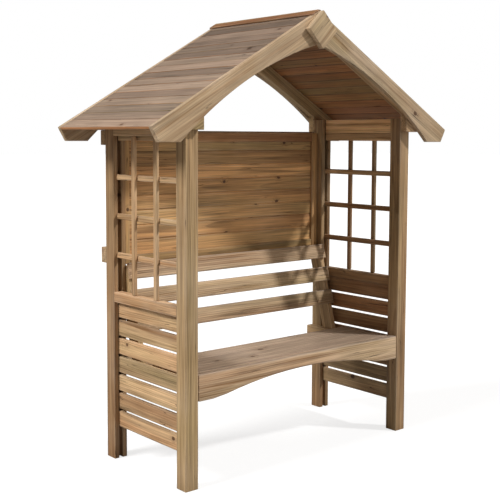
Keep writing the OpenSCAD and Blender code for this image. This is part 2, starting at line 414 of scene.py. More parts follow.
def leaning_plank(lay: Lay, sizes: tuple[float, float, float], radius: float, seed: int) -> Surface:
    """A straight rectangular timber that lies at any angle.

    Args:
        lay: the middle of its first end, its run and its section's axes.
        sizes: its length and its two sizes across.
        radius: the arrises' radius.
        seed: picks the face's waves.

    Returns:
        The timber's surface.
    """
    stations, inset = rounded_ends(sizes[0], radius)
    centres = lay.start + stations[:, None] * lay.run
    halves = np.tile([sizes[1] / 2, sizes[2] / 2], (len(stations), 1))
    return planked(centres, halves, (lay.across, lay.through), inset, radius, seed)


# --------------------------------------------------------------------------- pieces


@dataclass(frozen=True)
class Log:
    """How a timber's grain runs, and its own tone.

    pith is where the log's heart lies from the timber's middle, across and through.
    """

    run: np.ndarray
    across: np.ndarray
    pith: tuple[float, float]
    tone: tuple[float, float, float]
    start: float

    @classmethod
    def sawn(cls, run: np.ndarray, across: np.ndarray, seed: int, spread: float = 1.0) -> "Log":
        """Picks a log for a timber.

        Args:
            run: the way the grain runs.
            across: a direction across the grain.
            seed: picks the log.
            spread: how far the tones stray.

        Returns:
            The log.
        """
        rng = np.random.default_rng(seed)
        turn = rng.uniform(0, 2 * math.pi)
        reach = rng.uniform(*PITH_REACH)
        tone = rng.uniform(-1, 1, 2) * spread
        return cls(
            run,
            across,
            (reach * math.cos(turn), reach * math.sin(turn)),
            (float(tone[0]), float(tone[1]), float(rng.uniform(0, 1))),
            float(rng.uniform(0, LOG_LENGTH)),
        )

    def grain(self, points: np.ndarray) -> np.ndarray:
        """Places points in the log: along it, and from its heart in two directions.

        Args:
            points: points on the timber (n, 3).

        Returns:
            The same points in the log (n, 3).
        """
        through = np.cross(self.run, self.across)
        local = points - (points.min(axis=0) + points.max(axis=0)) / 2
        return np.stack(
            [
                local @ self.run + self.start,
                local @ self.across - self.pith[0],
                local @ through - self.pith[1],
            ],
            axis=1,
        )


def ring_faces(rings: int, ring: int, first: int, flip: bool) -> list[list[int]]:
    """Faces between rings, and one over each end.

    Args:
        rings: how many rings there are.
        ring: points in a ring.
        first: the first point's number.
        flip: True turns every face round.

    Returns:
        The faces as lists of point numbers.
    """
    row = np.arange(rings - 1)[:, None] * ring
    here = np.arange(ring)[None]
    after = (here + 1) % ring
    quads = np.stack([row + here, row + after, row + ring + after, row + ring + here], axis=2)
    quads = (quads + first).reshape(-1, 4)
    start = np.arange(ring)[::-1] + first
    end = np.arange(ring) + (rings - 1) * ring + first
    faces = quads.tolist() + [start.tolist(), end.tolist()]
    if flip:
        faces = [face[::-1] for face in faces]
    return faces


def turned_in(points: np.ndarray) -> bool:
    """True where a ring grid's faces would point inwards.

    The first ring's area vector points back along the run when they point outwards.

    Args:
        points: the grid (n, m, 3).

    Returns:
        Whether they would.
    """
    ring = points[len(points) // 2]
    area = np.cross(ring, np.roll(ring, -1, axis=0)).sum(axis=0)
    return bool(area @ (points[-1].mean(axis=0) - points[0].mean(axis=0)) < 0)


class Piece:
    """One visible piece: its timbers, gathered into a single mesh."""

    def __init__(self, name: str, spread: float = 1.0) -> None:
        """Starts an empty piece.

        Args:
            name: the piece's name.
            spread: how far its timbers' tones stray.
        """
        self.name = name
        self.spread = spread
        # The piece's painted light and shade, and its redness.
        self.painted_light_and_hue = np.array([*PAINTED_LIGHT_AND_HUE.get(name.removesuffix("_timber"), (0.0, 0.0)), 0.0])
        self.points: list[np.ndarray] = []
        self.grain: list[np.ndarray] = []
        self.tone: list[np.ndarray] = []
        self.worn: list[np.ndarray] = []
        self.faces: list[list[int]] = []
        self.count = 0

    def seed(self) -> int:
        """A number of its own for the next timber, from the piece's name and its place."""
        most_timbers = 64
        letters = np.frombuffer(self.name.encode(), dtype=np.uint8).astype(int)
        return int(letters @ np.arange(1, len(letters) + 1)) * most_timbers + len(self.points)

    def add(
        self, surface: Surface, run: np.ndarray, across: np.ndarray, shade: float = 0.0
    ) -> None:
        """Adds one timber.

        Args:
            surface: its surface.
            run: the way its grain runs.
            across: a direction across the grain.
            shade: how much lighter it is than its neighbours, or darker below zero, as for the eave
                board's painted light.
        """
        timber = Log.sawn(run, across, self.seed(), self.spread)
        flat = surface.points.reshape(-1, 3)
        rings, ring = surface.points.shape[:2]
        self.faces += ring_faces(rings, ring, self.count, turned_in(surface.points))
        self.points.append(flat)
        self.grain.append(timber.grain(flat))
        # A tone takes the timber's own tone, the piece's painted light and shade, and any painted
        # light passed in.
        self.tone.append(np.tile(timber.tone + self.painted_light_and_hue + shade * LIGHTNESS, (len(flat), 1)))
        self.worn.append(surface.worn.reshape(-1))
        self.count += len(flat)

    def build(self, finish: bpy.types.Material, slot: str, *nodes: str) -> None:
        """Makes the object that stands for its nodes.

        Args:
            finish: the material.
            slot: not used.
            nodes: the nodes that the piece replaces.
        """
        mesh = bpy.data.meshes.new(self.name)
        mesh.from_pydata(np.concatenate(self.points).tolist(), [], self.faces)
        for label, kind, key, rows in (
            ("grain", "FLOAT_VECTOR", "vector", self.grain),
            ("tone", "FLOAT_VECTOR", "vector", self.tone),
            ("worn", "FLOAT", "value", self.worn),
        ):
            layer = mesh.attributes.new(label, kind, "POINT")
            layer.data.foreach_set(key, np.concatenate(rows).astype(np.float32).reshape(-1))
        mesh.shade_smooth()
        mesh.set_sharp_from_angle(angle=math.radians(SHARP))
        mesh.materials.append(finish)
        mesh.update()
        piece = bpy.data.objects.new(self.name, mesh)
        bpy.context.scene.collection.objects.link(piece)
        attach(piece, "root")
        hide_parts(*nodes)
        log.info("%s: %d timbers, %d faces", self.name, len(self.points), len(self.faces))


def whole(node: str, run: int, finish: bpy.types.Material, slot: str) -> None:
    """Builds a rail, stile or bearer: one straight timber that fills its node's box.

    Args:
        node: the node it stands for.
        run: the axis it runs along, 0 to 2.
        finish: its material.
        slot: a slot name, handed on to the piece's build.
    """
    piece = Piece(f"{node}_timber", FRAME_SPREAD)
    across = X_AXIS if run == 2 else Z_AXIS
    piece.add(plank(Box.of(node), run, ARRIS, piece.seed()), np.eye(3)[run], across)
    piece.build(finish, slot, node)


# ------------------------------------------------------------------------- finishes

Number: TypeAlias = "Value | float"


class Value:
    """A shader number or vector that takes part in Python expressions."""

    def __init__(self, shader: "Shader", socket: bpy.types.NodeSocket) -> None:
        """Wraps a socket.

        Args:
            shader: the shader it belongs to.
            socket: the output socket.
        """
        self.shader = shader
        self.socket = socket

    def math(self, operation: str, *others: Number) -> "Value":
        """Applies a Math node to this value and others.

        Args:
            operation: the node's operation.
            others: its other inputs.

        Returns:
            The result.
        """
        inputs = dict(enumerate((self, *others)))
        return self.shader.node("ShaderNodeMath", {"operation": operation}, inputs, 0)

    def __add__(self, other: Number) -> "Value":
        """Sum."""
        return self.math("ADD", other)

    __radd__ = __add__

    def __mul__(self, other: Number) -> "Value":
        """Product."""
        return self.math("MULTIPLY", other)

    __rmul__ = __mul__

    def __sub__(self, other: Number) -> "Value":
        """Difference."""
        return self.math("SUBTRACT", other)

    def __rsub__(self, other: Number) -> "Value":
        """Difference from a plain number."""
        return self * -1.0 + other

    def __truediv__(self, other: Number) -> "Value":
        """Quotient."""
        return self.math("DIVIDE", other)

    def __pow__(self, other: Number) -> "Value":
        """Power."""
        return self.math("POWER", other)

    def magnitude(self) -> "Value":
        """The value without its sign."""
        return self.math("ABSOLUTE")

    def fraction(self) -> "Value":
        """What is left above the whole number below."""
        return self.math("FRACT")

    def sine(self) -> "Value":
        """Sine of the value in radians."""
        return self.math("SINE")

    def at_least(self, other: Number) -> "Value":
        """The larger of two values."""
        return self.math("MAXIMUM", other)

    def between(self, low: Number, high: Number) -> "Value":
        """Rises smoothly from 0 at low to 1 at high.

        Args:
            low: where it is 0.
            high: where it is 1.

        Returns:
            A number from 0 to 1.
        """
        settings = {"interpolation_type": "SMOOTHSTEP"}
        inputs = {"Value": self, "From Min": low, "From Max": high}
        return self.shader.node("ShaderNodeMapRange", settings, inputs, 0)


class Shader:
    """The node tree of a material or of the world, written as expressions."""

    def __init__(self, owner: bpy.types.Material | bpy.types.World) -> None:
        """Starts an empty tree.

        Args:
            owner: the material or the world that the tree belongs to.
        """
        owner.use_nodes = True
        self.tree = owner.node_tree
        self.tree.nodes.clear()

    def place(
        self,
        kind: str,
        settings: dict[str, object] | None = None,
        inputs: dict[str | int, object] | None = None,
    ) -> bpy.types.Node:
        """Adds a node.

        Args:
            kind: the node's type.
            settings: its settings, set first.
            inputs: values or links for its sockets, by name or number.

        Returns:
            The node.
        """
        made = self.tree.nodes.new(kind)
        for key, setting in (settings or {}).items():
            setattr(made, key, setting)
        for key, given in (inputs or {}).items():
            socket = made.inputs[key]
            if isinstance(given, Value):
                self.tree.links.new(given.socket, socket)
            else:
                socket.default_value = given
        return made

    def node(
        self,
        kind: str,
        settings: dict[str, object] | None = None,
        inputs: dict[str | int, object] | None = None,
        output: str | int = 0,
    ) -> Value:
        """Adds a node and wraps one of its outputs.

        Args:
            kind: the node's type.
            settings: its settings, set first.
            inputs: values or links for its sockets, by name or number.
            output: the output to wrap.

        Returns:
            The chosen output.
        """
        return Value(self, self.place(kind, settings, inputs).outputs[output])

    def close(self, surface: Value, kind: str = "ShaderNodeOutputMaterial") -> None:
        """Ends the tree with its surface."""
        self.place(kind, {}, {"Surface": surface})

    def attribute(self, label: str, output: str) -> Value:
        """Reads a point attribute."""
        return self.node("ShaderNodeAttribute", {"attribute_name": label}, {}, output)

    def parts(self, vector: Value) -> tuple[Value, Value, Value]:
        """Splits a vector into its three numbers.

        Args:
            vector: the vector.

        Returns:
            Its first, second and third number.
        """
        split = self.node("ShaderNodeSeparateXYZ", {}, {0: vector}, 0)
        outputs = split.socket.node.outputs
        return split, Value(self, outputs[1]), Value(self, outputs[2])

    def vector(self, x: Number, y: Number, z: Number) -> Value:
        """Joins three numbers into a vector."""
        return self.node("ShaderNodeCombineXYZ", {}, {0: x, 1: y, 2: z})

    def noise(self, place: Value, detail: float = 2.0, scale: float = 1.0) -> Value:
        """Soft noise about one half at a place."""
        inputs = {"Vector": place, "Scale": scale, "Detail": detail, "Roughness": NOISE_ROUGHNESS}
        return self.node("ShaderNodeTexNoise", {"noise_dimensions": "3D"}, inputs)

    def blend(self, amount: Number, one: object, other: object) -> Value:
        """Mixes two colours.

        Args:
            amount: 0 gives the first, 1 the second.
            one: the first colour.
            other: the second colour.

        Returns:
            The mixed colour.
        """
        inputs = {0: amount, 6: one, 7: other}
        return self.node("ShaderNodeMix", {"data_type": "RGBA", "clamp_factor": True}, inputs, 2)

    def shade(self, colour: Value, amount: Value) -> Value:
        """Scales a colour by a number."""
        inputs = {0: colour, "Scale": amount}
        return self.node("ShaderNodeVectorMath", {"operation": "SCALE"}, inputs)


def rgb(red: float, green: float, blue: float) -> Colour:
    """An opaque colour."""
    return (red, green, blue, 1.0)


@dataclass(frozen=True)
class Spot:
    """Where a point lies in its log: along it, from its heart, and the timber's number."""

    along: Value
    across: Value
    through: Value
    pick: Value


@dataclass(frozen=True)
class Streak:
    """Noise drawn out along the grain: how fine it is along and across it.

    shift moves it from timber to timber.
    """

    along: float
    across: float
    detail: float
    shift: float = 0.0

    def over(self, s: Shader, spot: Spot) -> Value:
        """The noise at a spot.

        Args:
            s: the shader.
            spot: the place in the log.

        Returns:
            Noise about one half.
        """
        deep = spot.through * self.across
        if self.shift:
            deep = deep + spot.pick * self.shift
        return s.noise(s.vector(spot.along * self.along, spot.across * self.across, deep), self.detail)


RIPPLE = Streak(2.2, 24.0, 2.0)
FIBRE = Streak(7.0, 430.0, 2.0)
STREAK = Streak(1.3, 34.0, 3.0)
BAND = Streak(2.1, 75.0, 2.0, 3.0)
CHECK = Streak(1.7, 62.0, 1.0, 9.0)


@dataclass(frozen=True)
class Stretch:
    """Noise that is a timber's own: how fine it is along and across, and from log to log."""

    along: float
    across: float
    pick: float
    detail: float

    def over(self, s: Shader, spot: Spot) -> Value:
        """The noise at a spot.

        Args:
            s: the shader.
            spot: the place in the log.

        Returns:
            Noise about one half.
        """
        x = spot.along * self.along
        y = spot.across * self.across
        return s.noise(s.vector(x, y, spot.pick * self.pick), self.detail)


STAIN = Stretch(0.9, 9.0, 23.0, 2.0)
CHECKED = Stretch(3.0, 20.0, 41.0, 1.0)
# How the log's heart strays sideways and inwards: fineness along the log, then the
# shift from log to log and the level that keep the two ways apart.
HEART_DRIFT = ((0.8, 31.0, 0.0), (0.7, 17.0, 5.0))


@dataclass(frozen=True)
class Knots:
    """Knots: one at most in each cell of a grid stretched along the log.

    share is the share of cells that hold one. least and girth are the smallest radius
    and how much larger the largest is, oval how much longer than wide they are, edge
    and halo the radii over which a knot and the wood round it fade, and fine how close
    a knot's own rings lie, in radians a metre.
    """

    share: float
    cells_along: float = 2.7
    cells_across: float = 8.5
    shift: float = 57.0
    oval: float = 1.3
    least: float = 0.0035
    girth: float = 0.0085
    wobble: float = 0.003
    wobble_scale: float = 90.0
    edge: Range = (0.8, 1.1)
    halo: Range = (0.9, 3.6)
    fine: float = 4200.0

    def scatter(self, s: Shader, spot: Spot) -> tuple[Value, Value, Value]:
        """Places the knots.

        Args:
            s: the shader.
            spot: the place in the log.

        Returns:
            The knots, the halo round them, and the fine rings inside them.
        """
        x = spot.along * self.cells_along
        y = spot.across * self.cells_across + spot.pick * self.shift
        settings = {"voronoi_dimensions": "2D", "feature": "F1"}
        inputs = {"Vector": s.vector(x, y, 0.0), "Scale": 1.0, "Randomness": 1.0}
        cell = s.node("ShaderNodeTexVoronoi", settings, inputs, "Position")
        chance, size, _ = s.parts(Value(s, cell.socket.node.outputs["Color"]))
        centre_x, centre_y, _ = s.parts(cell)
        off_x = (centre_x - x) / (self.cells_along * self.oval)
        off_y = (centre_y - y) / self.cells_across
        rough = s.vector(spot.along * self.wobble_scale, spot.across * self.wobble_scale, spot.pick)
        wobble = (s.noise(rough, 1.0) - 0.5) * self.wobble
        reach = (off_x * off_x + off_y * off_y) ** 0.5 + wobble
        radius = self.least + size * self.girth
        there = chance.between(1.0 - self.share, 1.001 - self.share)
        knot = (1.0 - (reach / radius).between(*self.edge)) * there
        halo = (1.0 - (reach / radius).between(*self.halo)) * there
        fine = ((reach * self.fine).sine() * 0.5 + 0.5) * knot
        return knot, halo, fine


@dataclass(frozen=True)
class Relief:
    """How high or deep each mark stands, as a share of distance, and how much it shows."""

    fibre: float = 0.5
    late: float = 0.35
    check: float = 1.6
    knot: float = 0.25
    streak: float = 0.4
    strength: float = 0.55
    distance: float = 0.0011


@dataclass(frozen=True)
class Gloss:
    """How rough the wood is, how its marks change that, and how much it reflects."""

    rough: float = 0.7
    fibre: float = 0.25
    knot: float = 0.15
    check: float = 0.1
    level: float = 0.28


@dataclass(frozen=True)
class Timber:
    """Pressure-treated softwood that has stood outside.

    early and late are the colours of a growth ring, green the treatment's stain, red
    the heartwood, grey the weathered skin and core a knot. weather is how much skin
    there is on faces that look up, and mottle how much there is in patches anywhere.
    ring_pitch is a ring's width, drift how far the log's heart strays, and the fields
    that end in depth say how strongly each mark shows. A Range is where a mark begins
    and where it is whole.
    """

    name: str
    early: Colour
    late: Colour = (0.24, 0.13, 0.053, 1.0)
    green: Colour = (0.33, 0.26, 0.115, 1.0)
    red: Colour = (0.36, 0.155, 0.062, 1.0)
    grey: Colour = (0.44, 0.335, 0.235, 1.0)
    core: Colour = (0.1, 0.045, 0.02, 1.0)
    weather: float = 0.2
    mottle: float = 0.12
    knot_share: float = 0.3
    ring_pitch: float = 0.0085
    ring_depth: float = 0.5
    late_rise: Range = (0.25, 0.88)
    late_fall: Range = (0.92, 1.0)
    drift: float = 0.055
    knot_bend: float = 0.009
    ripple_depth: float = 0.006
    streak_depth: float = 3.4
    green_above: float = 0.52
    green_depth: float = 1.6
    green_cast: float = 0.55
    red_below: float = 0.45
    red_depth: float = 1.5
    red_cast: float = 0.5
    upward: Range = (0.2, 0.8)
    patches: Range = (0.42, 0.72)
    rubbed: Range = (0.35, 0.6)
    rubbed_depth: float = 0.3
    core_depth: float = 0.7
    halo_depth: float = 0.2
    light_depth: float = 0.2
    fibre_depth: float = 1.0
    band_depth: float = 1.1
    patch_depth: float = 0.5
    patch_detail: float = 3.0
    patch_scale: float = 3.1
    check_width: Range = (0.003, 0.012)
    checked: Range = (0.5, 0.62)
    check_depth: float = 0.62
    # How dark inner corners and grooves are: dirt and painted shade.
    dirt_and_shade_depth: float = 0.85
    knot_ring_depth: float = 0.25
    relief: Relief = Relief()
    gloss: Gloss = Gloss()

    def rings(self, s: Shader, spot: Spot, halo: Value) -> Value:
        """Late wood: a ring darkens slowly towards its edge, then starts pale again.

        A ring's number is the distance from the log's heart over the ring's width. The
        heart strays along the log, and the rings bend round knots.

        Args:
            s: the shader.
            spot: the place in the log.
            halo: the wood round the knots.

        Returns:
            1 in late wood and 0 in early.
        """
        sideways, inwards = (
            (s.noise(s.vector(spot.along * fine, spot.pick * shift, level), 1.0) - 0.5) * self.drift
            for fine, shift, level in HEART_DRIFT
        )
        a = spot.across + sideways
        b = spot.through + inwards
        bend = halo * halo * self.knot_bend
        ripple = (RIPPLE.over(s, spot) - 0.5) * self.ripple_depth
        reach = (a * a + b * b) ** 0.5 + bend + ripple
        ring = (reach / self.ring_pitch).fraction()
        return ring.between(*self.late_rise) - ring.between(*self.late_fall)

    def checks(self, s: Shader, spot: Spot) -> Value:
        """Drying cracks: lines where drawn-out noise crosses one half, in some stretches.

        Args:
            s: the shader.
            spot: the place in the log.

        Returns:
            1 in a crack and 0 beside it.
        """
        line = (CHECK.over(s, spot) - 0.5).magnitude()
        gate = CHECKED.over(s, spot)
        return (1.0 - line.between(*self.check_width)) * gate.between(*self.checked)

    def stained(self, s: Shader, spot: Spot, hue: Value, colour: Value) -> Value:
        """Greener or redder wood in long stains, and over a whole timber by its hue.

        Args:
            s: the shader.
            spot: the place in the log.
            hue: the timber's redness, below zero where it is green.
            colour: the colour of its rings.

        Returns:
            The stained colour.
        """
        stain = STAIN.over(s, spot)
        greener = (stain - self.green_above) * self.green_depth
        greener = (hue * -1.0).at_least(0.0) * self.green_cast + greener
        redder = hue.at_least(0.0) * self.red_cast + (self.red_below - stain) * self.red_depth
        colour = s.blend(greener.at_least(0.0), colour, self.green)
        return s.blend(redder.at_least(0.0), colour, self.red)

    def make(self) -> bpy.types.Material:
        """Builds the material: rings about the log's heart, knots, fibres and checks.

        Returns:
            The material.
        """
        material = bpy.data.materials.new(self.name)
        s = Shader(material)
        light, hue, pick = s.parts(s.attribute("tone", "Vector"))
        spot = Spot(*s.parts(s.attribute("grain", "Vector")), pick)
        worn = s.attribute("worn", "Fac")
        knot, halo, knot_rings = Knots(self.knot_share).scatter(s, spot)
        late = self.rings(s, spot, halo)
        check = self.checks(s, spot)
        fibre = FIBRE.over(s, spot) - 0.5
        streak = STREAK.over(s, spot) - 0.5
        band = BAND.over(s, spot) - 0.5
        place = s.node("ShaderNodeTexCoord", {}, {}, "Object")
        patch = s.noise(place, self.patch_detail, self.patch_scale)
        up = s.parts(s.node("ShaderNodeNewGeometry", {}, {}, "Normal"))[2]

        grown = late * self.ring_depth + streak * self.streak_depth
        colour = s.blend(grown.at_least(0.0), self.early, self.late)
        colour = self.stained(s, spot, hue, colour)
        skin = up.between(*self.upward) * self.weather + patch.between(*self.patches) * self.mottle
        rubbed = worn.at_least(0.0) * patch.between(*self.rubbed) * self.rubbed_depth
        colour = s.blend(skin, colour, self.grey)
        colour = s.blend(rubbed, colour, self.grey)
        colour = s.blend(knot * self.core_depth + halo * self.halo_depth, colour, self.core)
        tint = (
            # light holds each timber's own tone plus its piece's painted light and shade.
            (light * self.light_depth + 1.0)
            * (fibre * self.fibre_depth + 1.0)
            * (band * self.band_depth + 1.0)
            * ((patch - 0.5) * self.patch_depth + 1.0)
            * (1.0 - check * self.check_depth)
            # Inner corners and grooves are darkened as dirt and painted shade.
            * (1.0 - (worn * -1.0).at_least(0.0) * self.dirt_and_shade_depth)
            * (1.0 - knot_rings * self.knot_ring_depth)
        )

        relief = self.relief
        height = fibre * relief.fibre - late * relief.late - check * relief.check
        height = height - knot * relief.knot + streak * relief.streak
        inputs = {"Strength": relief.strength, "Distance": relief.distance, "Height": height}
        gloss = self.gloss
        rough = gloss.rough + fibre * gloss.fibre - knot * gloss.knot + check * gloss.check
        skin_settings = {
            "Base Color": s.shade(colour, tint),
            "Roughness": rough,
            "Normal": s.node("ShaderNodeBump", {}, inputs),
            "Specular IOR Level": gloss.level,
        }
        s.close(s.node("ShaderNodeBsdfPrincipled", {}, skin_settings))
        return material


# --------------------------------------------------------------------------- studio


@dataclass(frozen=True)
class Backdrop:
    """A pale floor that runs out to a white surround and keeps the shadow.

    reach is half its width, pale its own colour, and lift what the camera sees on top.
    """

    reach: float = 60.0
    lift: float = 0.75
    pale: float = 0.34

    def make(self) -> None:
        """Lays the floor."""
        material = bpy.data.materials.new("pale_floor")
        s = Shader(material)
        matt = s.node("ShaderNodeBsdfDiffuse", {}, {"Color": rgb(self.pale, self.pale, self.pale)})
        seen = s.node("ShaderNodeLightPath", {}, {}, "Is Camera Ray")
        glow = s.node("ShaderNodeEmission", {}, {"Strength": seen * self.lift})
        s.close(s.node("ShaderNodeAddShader", {}, {0: matt, 1: glow}))
        square = np.array([(-1, -1, 0), (1, -1, 0), (1, 1, 0), (-1, 1, 0)], dtype=float)
        mesh = bpy.data.meshes.new("floor")
        mesh.from_pydata((square * self.reach).tolist(), [], [[0, 1, 2, 3]])
        mesh.materials.append(material)
        floor = bpy.data.objects.new("floor", mesh)
        bpy.context.scene.collection.objects.link(floor)


@dataclass(frozen=True)
class Lamp:
    """A lamp far away: its strength, the way towards it and the angle it fills, in degrees."""

    name: str
    strength: float
    source: tuple[float, float, float]
    spread: float

    def hang(self) -> None:
        """Hangs the lamp."""
        lamp = bpy.data.lights.new(self.name, "SUN")
        lamp.energy = self.strength
        lamp.angle = math.radians(self.spread)
        holder = bpy.data.objects.new(self.name, lamp)
        towards = np.array(self.source) / np.linalg.norm(self.source)
        side = np.cross(Z_AXIS, towards)
        side = side / np.linalg.norm(side)
        holder.matrix_world = facing(side, np.cross(towards, side), towards, np.zeros(3))
        bpy.context.scene.collection.objects.link(holder)


@dataclass(frozen=True)
class Studio:
    """Soft studio light: a key, a fill from the other side, a low front lamp and a sky."""

    lamps: tuple[Lamp, ...] = (
        Lamp("key", 2.3, (0.8, -1.0, 1.036), 4.0),
        Lamp("fill", 3.0, (-0.76, 0.1, 0.66), 20.0),
        Lamp("front", 0.62, (0.3, -1.0, 0.12), 60.0),
    )
    sky: float = 0.2
    sky_colour: Colour = (1.0, 0.93, 0.84, 1.0)
    seen_colour: Colour = (1.0, 1.0, 1.0, 1.0)

    def set_up(self) -> None:
        """Hangs the lamps and sets the sky, which the camera sees as plain white."""
        for lamp in self.lamps:
            lamp.hang()
        world = bpy.data.worlds.new("studio")
        bpy.context.scene.world = world
        s = Shader(world)
        sky = s.node("ShaderNodeBackground", {}, {"Color": self.sky_colour, "Strength": self.sky})
        white = s.node("ShaderNodeBackground", {}, {"Color": self.seen_colour})
        seen = s.node("ShaderNodeLightPath", {}, {}, "Is Camera Ray")
        pick = s.node("ShaderNodeMixShader", {}, {0: seen, 1: sky, 2: white})
        s.close(pick, "ShaderNodeOutputWorld")


def facing(right: np.ndarray, up: np.ndarray, back: np.ndarray, place: np.ndarray) -> Matrix:
    """A matrix whose columns are three directions and a place.

    Args:
        right: the way its X axis points.
        up: the way its Y axis points.
        back: the way its Z axis points.
        place: where it stands.

    Returns:
        The matrix.
    """
    table = np.eye(4)
    table[:3, :4] = np.stack([right, up, back, place], axis=1)
    return Matrix(table.tolist())


@dataclass(frozen=True)
class Viewpoint:
    """The camera: where it stands, how it is turned, and its lens."""

    place: tuple[float, float, float] = (-2.9191, -3.3520, 1.4518)
    yaw: float = 0.70432
    pitch: float = 0.08055
    roll: float = 0.00433
    lens: float = 68.541
    sensor: float = 36.0
    sight: float = 200.0
    shift: tuple[float, float] = (-0.00443, -0.07374)

    def set_up(self) -> None:
        """Makes the camera: it looks along its yaw and pitch, then rolls about that."""
        level = np.array([math.sin(self.yaw), math.cos(self.yaw), 0.0]) * math.cos(self.pitch)
        forward = level - Z_AXIS * math.sin(self.pitch)
        flat = np.array([math.cos(self.yaw), -math.sin(self.yaw), 0.0])
        upward = np.cross(flat, forward)
        right = math.cos(self.roll) * flat + math.sin(self.roll) * upward
        up = math.cos(self.roll) * upward - math.sin(self.roll) * flat
        camera = bpy.data.cameras.new("camera")
        camera.lens = self.lens
        camera.sensor_width = self.sensor
        camera.shift_x, camera.shift_y = self.shift
        camera.clip_end = self.sight
        holder = bpy.data.objects.new("camera", camera)
        holder.matrix_world = facing(right, up, -forward, np.array(self.place))
        bpy.context.scene.collection.objects.link(holder)
        bpy.context.scene.camera = holder


# --------------------------------------------------------------------- sub-assemblies


@dataclass(frozen=True)
class Palette:
    """The finished materials, one for each kind of timber."""

    frame: bpy.types.Material
    infill: bpy.types.Material
    seat: bpy.types.Material
    panel: bpy.types.Material
    barge: bpy.types.Material
    roof: bpy.types.Material
    ridge: bpy.types.Material


def grooved_board(wide: float, thick: float, grooves: tuple[float, float]) -> Section:
    """A board whose faces stop short of its edges, so that neighbours leave a groove.

    Its tongue slips a little under the next board where there is one.

    Args:
        wide: its width, edge to edge.
        thick: its thickness.
        grooves: how far its faces stop short at the near and the far edge.

    Returns:
        The section: across, then through.
    """
    tongue_lap, board_arris = 0.0008, 0.0012
    tongue_near, tongue_far, dirt_and_shade_reach = 0.35, 0.65, 0.2
    first, last = grooves
    lap = tongue_lap if last else 0.0
    near, far = tongue_near * thick, tongue_far * thick
    lower = [(first, 0), (wide - last, 0)]
    right = [(wide - last, near), (wide + lap, near), (wide + lap, far), (wide - last, far)]
    upper = [(wide - last, thick), (first, thick)]
    left = [(first, far), (0, far), (0, near), (first, near)]
    corners = lower + (right if last else []) + upper + (left if first else [])
    rounded = rounded_section(corners, board_arris)
    across, through = rounded.points.T
    grooved = (across < first) | (across > wide - last)
    # Points deep in a groove are marked -1, darkened as dirt and painted shade.
    inside = (np.abs(through - thick / 2) < dirt_and_shade_reach * thick) & grooved
    return Section(rounded.points, rounded.normals, np.where(inside, -1.0, rounded.worn))


@dataclass(frozen=True)
class CornerPosts:
    """Four square posts, each grooved in the face towards the other post of its side.

    lip is the wood left outside the groove.
    """

    lip: float = 0.024
    groove: float = 0.017
    depth: float = 0.025
    arris: float = 0.004

    def post(self, side: Side, end: End, finish: bpy.types.Material) -> None:
        """Builds one post.

        Args:
            side: left or right.
            end: front or back.
            finish: its material.
        """
        name = f"post_{end.name.lower()}_{side.name.lower()}"
        box = Box.of(name)
        wide, deep, tall = box.size
        groove_out = wide - self.lip
        groove_in = groove_out - self.groove
        corners = [
            (0, 0),
            (wide, 0),
            (wide, deep),
            (groove_out, deep),
            (groove_out, deep - self.depth),
            (groove_in, deep - self.depth),
            (groove_in, deep),
            (0, deep),
        ]
        outer_y = box.low[1] if end is End.FRONT else box.high[1]
        start = np.array([box.inner(side), outer_y, box.low[2]])
        lay = Lay(start, Z_AXIS, side.value * X_AXIS, -end.value * Y_AXIS)
        piece = Piece(f"{name}_timber", FRAME_SPREAD)
        section = rounded_section(corners, self.arris)
        piece.add(moulded(section, lay, tall, piece.seed()), Z_AXIS, X_AXIS)
        piece.build(finish, "frame_timber", name)

    def build(self, palette: Palette) -> None:
        """Builds the four posts."""
        for side in Side:
            for end in End:
                self.post(side, end, palette.frame)


